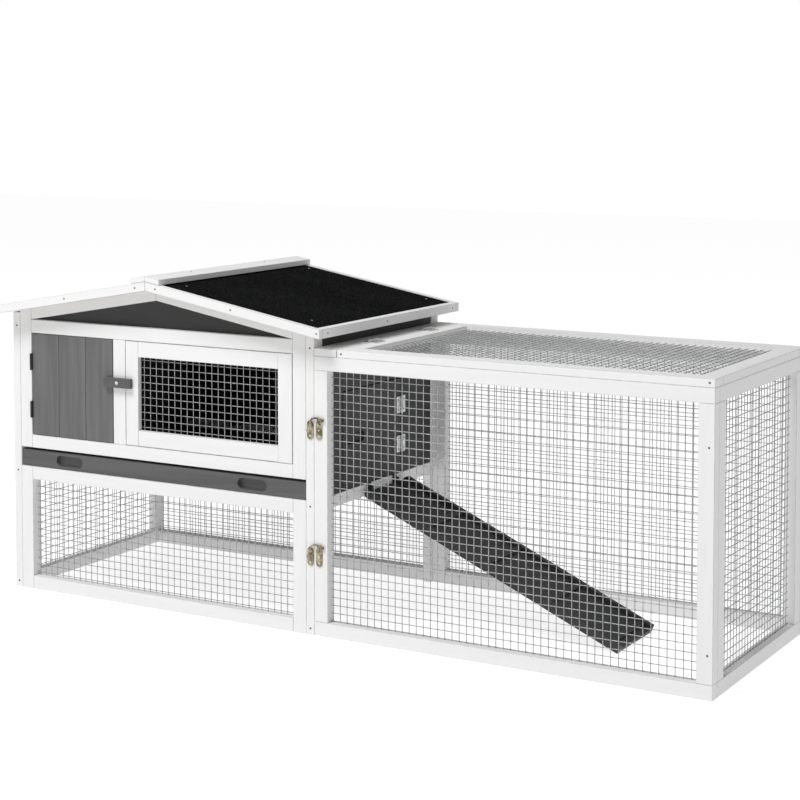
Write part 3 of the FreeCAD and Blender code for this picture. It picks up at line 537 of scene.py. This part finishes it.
WIRES = wire_tree()
HEADS = head_tree()


def mesh_panel(node, facing, first_across, first_up):
    """Round wires in place of a panel's solids, with the same pitch, first wires and planes."""
    low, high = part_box(node)
    size = high - low
    across = {"X": Y, "Y": X, "Z": X}[facing]
    up = {"X": Z, "Y": Z, "Z": Y}[facing]
    out = {"X": X, "Y": -Y, "Z": Z}[facing]
    middle = low + size / 2
    plane = middle.dot(out) * out
    wide, tall = size.dot(across), size.dot(up)
    corner = low.dot(across) * across + low.dot(up) * up + plane
    half = WIRE / 2 * WELD_PRESS
    count = [math.floor((span - first - WIRE / 2) / PITCH) + 1
             for span, first in ((wide, first_across), (tall, first_up))]
    panel = WIRES.grow(
        node + "_wires", bpy.data.meshes.new(node),
        Upright_start=corner + across * first_across + out * half, Upright_run=up * tall,
        Upright_step=across * PITCH, Uprights=count[0],
        Cross_start=corner + up * first_up - out * half, Cross_run=across * wide,
        Cross_step=up * PITCH, Cross_wires=count[1],
        Radius=WIRE / 2, Bend=WIRE_BEND, Material=FINISHES["galvanised_wire"])
    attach(panel, BODY_OF[node])
    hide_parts(node)


def heads(name, body, slot, spots, radius=0.0028, height=0.0006, crossed=True, instead_of=None):
    """Fastener heads at (place, outward direction) spots on one body."""
    points = bpy.data.meshes.new(name)
    points.from_pydata([place for place, _ in spots], [], [])
    aim = points.attributes.new("aim", "FLOAT_VECTOR", "POINT")
    aim.data.foreach_set("vector", [value for _, way in spots for value in way])
    made = HEADS.grow(name, points, Radius=radius, Height=height, Recess=radius * RECESS_SHARE,
                      Crossed=crossed, Material=FINISHES[slot])
    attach(made, body)
    if instead_of:
        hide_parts(instead_of)


# ---------------------------------------------------------------- timbers and boards

EASE = 0.0009
BOARD_EASE = 0.0013
FITTING_EASE = 0.00025
for node in ("front_posts", "front_rails", "gable_rafters", "back_posts", "back_rails", "left_wall_frame",
             "right_wall_frame", "tray_runners", "run_front_stiles", "run_front_rails", "run_back_stiles",
             "run_back_rails", "run_end_stiles", "run_end_rails", "top_strip", "top_panel_frame",
             "mesh_door_frame", "left_roof_edging", "right_roof_edging", "ridge_cap", "nest_door_battens",
             "gable_boards", "tray_front", "ramp_deck", "ramp_side_rails", "ramp_cleats", "left_roof_deck",
             "right_roof_deck"):
    eased(node + "_timber", node, EASE)
for node in ("nest_door_boards", "back_boards", "left_wall_boards", "right_wall_boards", "side_door",
             "nest_partition"):
    eased(node + "_timber", node, BOARD_EASE, grain=Z)
for node in ("nest_hinge_fixed", "nest_hinge_moving", "surface_hinge_fixed", "side_hinge_moving",
             "top_hinge_moving", "roof_hinge_moving", "latch_plates", "ramp_hooks", "ramp_brackets"):
    eased(node + "_fitting", node, FITTING_EASE, grain=Z)
for node in ("left_roof_felt", "right_roof_felt", "tray_pan", "mesh_door_pins"):
    frame["nodes"][node].data.materials[0] = FINISHES[SLOT_OF[node]]

# ---------------------------------------------------------------- wire mesh

for node, facing, first_across, first_up in (
    ("lower_front_mesh", "Y", 0.007, 0.005),
    ("lower_back_mesh", "Y", 0.007, 0.005),
    ("lower_left_mesh", "X", 0.008, 0.005),
    ("mesh_door_mesh", "Y", 0.008, 0.006),
    ("run_front_mesh", "Y", 0.0044, 0.0018),
    ("run_back_mesh", "Y", 0.0044, 0.0018),
    ("run_end_mesh", "X", 0.006, 0.0018),
    ("top_panel_mesh", "Z", 0.006, 0.006),
):
    mesh_panel(node, facing, first_across, first_up)

# ---------------------------------------------------------------- turn button and latch arms

BUTTON_LENGTH = 0.0675
BUTTON_CORNER = 0.0012
STEEP = math.radians(60)


def turn_button():
    """The button's block at its full length, with round corners and eased edges."""
    low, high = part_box("turn_button")
    size = Vector((BUTTON_LENGTH, high.y - low.y, high.z - low.z))
    solid = bmesh.new()
    bmesh.ops.create_cube(solid, size=1.0)
    for corner in solid.verts:
        corner.co = corner.co * size + (low + high) / 2
    through = [e for e in solid.edges if e.verts[0].co.y != e.verts[1].co.y]
    bmesh.ops.bevel(solid, geom=through, offset=BUTTON_CORNER, segments=3, profile=0.5, affect="EDGES")
    rims = [e for e in solid.edges if e.calc_face_angle(0) > STEEP]
    rounded = bmesh.ops.bevel(solid, geom=rims, offset=EASE, segments=2, profile=0.5, affect="EDGES")
    solid.normal_update()
    lay_grain(solid, X.copy(), set(rounded["faces"]))
    mesh = bpy.data.meshes.new("button")
    solid.to_mesh(mesh)
    solid.free()
    settle(joined_object("turn_button_block", [mesh]), "turn_button")


turn_button()


def swept_bar(name, stops, radius, fatness):
    """A round bar swept through a few places, thicker or thinner along the way, as a mesh."""
    curve = bpy.data.curves.new(name, "CURVE")
    curve.dimensions = "3D"
    curve.bevel_depth = radius
    curve.bevel_resolution = 3
    curve.resolution_u = 8
    curve.use_fill_caps = True
    line = curve.splines.new("BEZIER")
    line.bezier_points.add(len(stops) - 1)
    for point, stop, fat in zip(line.bezier_points, stops, fatness):
        point.co = stop
        point.radius = fat
        point.handle_left_type = point.handle_right_type = "AUTO"
    holder = bpy.data.objects.new(name, curve)
    bpy.context.scene.collection.objects.link(holder)
    bpy.context.view_layer.update()
    mesh = bpy.data.meshes.new_from_object(holder.evaluated_get(bpy.context.evaluated_depsgraph_get()))
    bpy.data.objects.remove(holder)
    return mesh


KNOB_FLAT = 0.8


def button_knob(centre, radius, thick):
    """A flattened round knob that faces the front, as a mesh."""
    knob = bmesh.new()
    bmesh.ops.create_uvsphere(knob, u_segments=20, v_segments=10, radius=1.0)
    for corner in knob.verts:
        flat = max(-KNOB_FLAT, min(KNOB_FLAT, corner.co.z)) / KNOB_FLAT
        corner.co = centre + Vector((corner.co.x * radius, flat * thick, -corner.co.y * radius))
    bmesh.ops.recalc_face_normals(knob, faces=knob.faces[:])
    mesh = bpy.data.meshes.new("knob")
    knob.to_mesh(mesh)
    knob.free()
    return mesh


EYE_RADIUS = 0.005
HALF_ARM = 0.0018
ARM_RADIUS = 0.0017
ARM_FLATNESS = 0.7
ARM_ARCH = ((0, 0.003), (0.0035, 0.0092), (0.011, 0.0122), (0.0215, 0.0122))
ARM_TONGUE = ((0.0165, 0.0122), (0.0185, 0.008), (0.0195, 0.0042))
THUMB_RADIUS, THUMB_INWARD, THUMB_DOWN = 0.0036, 0.003, 0.0052


def latch_arm(node):
    """A cast arm: an eye on the stud, an arch over the joint, a tongue on the catch and a thumb end."""
    low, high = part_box(node)
    eye = Vector((low.x + EYE_RADIUS, (low.y + high.y) / 2, low.z + EYE_RADIUS))
    thumb = Vector((high.x - THUMB_INWARD, eye.y, high.z - THUMB_DOWN))
    arch = [eye + Vector((along, 0, up)) for along, up in ARM_ARCH] + [thumb]
    tongue = [eye + Vector((along, 0, up)) for along, up in ARM_TONGUE]
    meshes = [
        swept_bar(node, arch, ARM_RADIUS, (1.0, 1.0, 1.0, 1.0, 1.1)),
        swept_bar(node, tongue, ARM_RADIUS, (0.9, 0.8, 0.6)),
        button_knob(eye, EYE_RADIUS, HALF_ARM),
        button_knob(thumb, THUMB_RADIUS, HALF_ARM),
    ]
    arm = joined_object(node + "_cast", meshes)
    for corner in arm.data.vertices:
        corner.co.y = eye.y + (corner.co.y - eye.y) * ARM_FLATNESS
    for face in arm.data.polygons:
        face.use_smooth = True
    settle(arm, node)


for node in ("latch_high_arm", "latch_low_arm"):
    latch_arm(node)

# ---------------------------------------------------------------- fasteners

HEAD_SINK = 0.0001
SMALL_HEAD = 0.0019
LEAF_HEAD = 0.0018
BRACKET_HEAD = 0.0024
NAIL_HEAD, NAIL_HEIGHT = 0.0022, 0.0008
BUTTON_HEAD = 0.0036
FRONT_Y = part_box("front_posts")[0].y
PIN = {joint["name"]: Vector(joint["pos_m"]) for joint in frame["joints"] if "pos_m" in joint}


def front_screws(node, body):
    """Small screws on the front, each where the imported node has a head."""
    spots = []
    for faces in solids_of(frame["nodes"][node].data):
        places = [Vector(place) for corners in faces for place in corners]
        centre = sum(places, Vector()) / len(places)
        spots.append((Vector((centre.x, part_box(node)[1].y - HEAD_SINK, centre.z)), -Y))
    heads(node[:-1] + "_heads", body, "dull_steel", spots, radius=SMALL_HEAD, instead_of=node)


def button_screw():
    """The screw that the turn button swings on."""
    low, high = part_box("turn_button")
    middle = (low + high) / 2
    heads("turn_button_screw_head", "turn_button", "zinc",
          [(Vector((middle.x, low.y, middle.z)), -Y)], radius=BUTTON_HEAD)


for node, body in (("front_screws", "hutch"), ("top_panel_screws", "top_panel")):
    front_screws(node, body)
button_screw()

# roof screws and felt nails, at level distances from the ridge
FALL = 0.1733
DECK_THICK = 0.012
RIDGE_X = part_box("left_roof_deck")[1].x
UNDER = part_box("left_roof_deck")[1].z - DECK_THICK
COUNTERSUNK = 0.00027
EDGING_MIDDLE, FELT_TOP, CAP_TOP = 0.008, 0.015, 0.0283
GABLE_SCREWS = (0.025, 0.204, 0.3984)
EAVE_SCREWS = (-0.0056, 0.2146, 0.484)
CAP_DISTANCE, CAP_SCREWS = 0.011, (0.103, 0.367)
NAIL_DISTANCES, NAIL_DEPTHS = (0.054, 0.347), (0.029, 0.475)


def roof_heads(side, body, sign):
    """Screws in the edging and the ridge cap and nails in the felt of one half of the roof."""
    low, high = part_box(side + "_roof_edging")
    slope = Vector((sign * FALL, 0, 1)).normalized()

    def on_roof(distance, y, above):
        return Vector((RIDGE_X + sign * distance, y, UNDER - FALL * distance + above))

    spots = []
    for distance in GABLE_SCREWS:
        spots.append((on_roof(distance, low.y + COUNTERSUNK, EDGING_MIDDLE), -Y))
        spots.append((on_roof(distance, high.y - COUNTERSUNK, EDGING_MIDDLE), Y))
    eave_x = high.x if sign > 0 else low.x
    for depth in EAVE_SCREWS:
        place = on_roof(abs(eave_x - RIDGE_X) - COUNTERSUNK, FRONT_Y + depth, EDGING_MIDDLE)
        spots.append((place, X * sign))
    heads(side + "_roof_screws", body, "dull_steel", spots, radius=SMALL_HEAD)
    cap_spots = [(on_roof(CAP_DISTANCE, FRONT_Y + depth, CAP_TOP), slope) for depth in CAP_SCREWS]
    heads(side + "_cap_screws", "roof_lid", "dull_steel", cap_spots, radius=SMALL_HEAD)
    nails = [(on_roof(distance, FRONT_Y + depth, FELT_TOP), slope)
             for distance in NAIL_DISTANCES for depth in NAIL_DEPTHS]
    heads(side + "_felt_nails", body, "zinc", nails, radius=NAIL_HEAD, height=NAIL_HEIGHT, crossed=False)


for side, body, sign in (("left", "hutch", -1), ("right", "roof_lid", 1)):
    roof_heads(side, body, sign)

# screws in the hinge leaves
LEAF_FACE = 0.0017
LEAF_MIDDLE, LEAF_SCREW = 0.0105, 0.0105


def leaf_screws(name, body, node, pin, across, outward, along):
    """Two screws in one leaf of every hinge on a pin: the leaf that lies to the side of across."""
    spots = []
    for centre in centres(node):
        middle = pin + along * (centre - pin).dot(along)
        for step in (-LEAF_SCREW, LEAF_SCREW):
            spots.append((middle + across * LEAF_MIDDLE + along * step - outward * LEAF_FACE, outward))
    heads(name, body, "dull_steel", spots, radius=LEAF_HEAD)


down_slope = Vector((-1, 0, -FALL)).normalized()
off_slope = Vector((-FALL, 0, 1)).normalized()
for name, body, node, pin, across, outward, along in (
    ("side_hinge_door_screws", "side_door", "side_hinge_moving", "side_door_hinge", -Y, X, Z),
    ("side_hinge_wall_screws", "hutch", "side_hinge_moving", "side_door_hinge", Y, X, Z),
    ("top_hinge_panel_screws", "top_panel", "top_hinge_moving", "top_panel_hinge", X, Z, Y),
    ("top_hinge_strip_screws", "hutch", "top_hinge_moving", "top_panel_hinge", -X, Z, Y),
    ("roof_hinge_screws", "hutch", "roof_hinge_moving", "roof_hinge", down_slope, off_slope, Y),
):
    leaf_screws(name, body, node, PIN[pin], across, outward, along)

# screws of the latch plates and the ramp's brackets, and the plates' scrolls
PLATE_FACE = FRONT_Y - 0.0016
HALF_PLATE = 0.018
PLATE_SCREWS = (0.007, 0.0185)
PIVOT_SIDE = 0.005
SCROLL_LEFT, SCROLL_PROUD, SCROLL_RISE = 0.0035, 0.0006, 0.0165
SCROLL_RADIUS, SCROLL_THICK = 0.0044, 0.0018
BRACKET_BACK, BRACKET_THICK, BRACKET_DOWN = 0.0045, 0.0012, 0.0095
BRACKET_FACE = PIN["ramp_hinge"].x - BRACKET_BACK + BRACKET_THICK


def latch_plate_details():
    """Two screws in each latch plate, and a cast scroll beside each pivot."""
    spots, scrolls = [], []
    for centre in centres("latch_plates"):
        bottom = centre.z - HALF_PLATE
        for rise in PLATE_SCREWS:
            spots.append((Vector((centre.x, PLATE_FACE, bottom + rise)), -Y))
        if centre.x < PIN["upper_latch_pivot"].x + PIVOT_SIDE:
            place = Vector((centre.x - SCROLL_LEFT, PLATE_FACE - SCROLL_PROUD, bottom + SCROLL_RISE))
            scrolls.append(button_knob(place, SCROLL_RADIUS, SCROLL_THICK))
    heads("latch_plate_screws", "hutch", "zinc", spots, radius=LEAF_HEAD)
    scroll = joined_object("latch_plate_scrolls", scrolls)
    for face in scroll.data.polygons:
        face.use_smooth = True
    scroll.data.materials.append(FINISHES["antique_brass"])
    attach(scroll, "hutch")


def bracket_screws():
    """One black screw low in each bracket of the ramp."""
    height = PIN["ramp_hinge"].z - BRACKET_DOWN
    spots = [(Vector((BRACKET_FACE, centre.y, height)), X) for centre in centres("ramp_brackets")]
    heads("bracket_screws", "hutch", "black_metal", spots, radius=BRACKET_HEAD)


latch_plate_details()
bracket_screws()

# ---------------------------------------------------------------- stage, lights and camera

def stage_floor():
    """A pale sheet that the hutch stands on."""
    reach = 12.0
    mesh = bpy.data.meshes.new("floor")
    mesh.from_pydata([(-reach, -reach, 0), (reach, -reach, 0), (reach, reach, 0), (-reach, reach, 0)], [],
                     [(0, 1, 2, 3)])
    made, _, _ = finish_of("pale_floor", Base_Color=(0.35, 0.35, 0.35, 1), Roughness=0.9,
                           Specular_IOR_Level=0.05, Emission_Color=(1.0, 1.0, 1.0, 1.0),
                           Emission_Strength=0.84)
    mesh.materials.append(made)
    floor = bpy.data.objects.new("floor", mesh)
    bpy.context.scene.collection.objects.link(floor)


def soft_light(name, place, target, size, watts):
    lamp = bpy.data.lights.new(name, "AREA")
    lamp.shape = "RECTANGLE"
    lamp.size, lamp.size_y = size
    lamp.energy = watts
    holder = bpy.data.objects.new(name, lamp)
    holder.location = place
    holder.rotation_euler = (Vector(target) - Vector(place)).to_track_quat("-Z", "Y").to_euler()
    bpy.context.scene.collection.objects.link(holder)


def surroundings(fill, backdrop):
    """A white sky: its light on the object is dimmer than the backdrop that is seen."""
    world = bpy.data.worlds.new("studio")
    world.use_nodes = True
    tree = world.node_tree
    sky = tree.nodes["Background"]
    sky.inputs[0].default_value = (1.0, 1.0, 1.0, 1.0)
    seen = add(tree, "ShaderNodeLightPath")
    strength = add(tree, "ShaderNodeMapRange")
    strength.inputs["To Min"].default_value = fill
    strength.inputs["To Max"].default_value = backdrop
    tree.links.new(seen.outputs["Is Camera Ray"], strength.inputs["Value"])
    tree.links.new(strength.outputs[0], sky.inputs[1])
    bpy.context.scene.world = world


def camera():
    lens = bpy.data.cameras.new("camera")
    lens.lens = 85.586
    lens.sensor_width = 36.0
    lens.shift_y = -0.2434
    lens.clip_end = 60.0
    holder = bpy.data.objects.new("camera", lens)
    holder.location = (1.9094, -3.2415, 1.0206)
    holder.rotation_euler = (math.radians(90 - 3.2534), 0, math.radians(29.985))
    bpy.context.scene.collection.objects.link(holder)
    bpy.context.scene.camera = holder


stage_floor()
surroundings(0.38, 1.0)
soft_light("key", (-0.9, -2.3, 4.2), (-0.1, 0.0, 0.3), (1.8, 1.4), 145)
camera()
bpy.context.scene.view_settings.view_transform = "Standard"
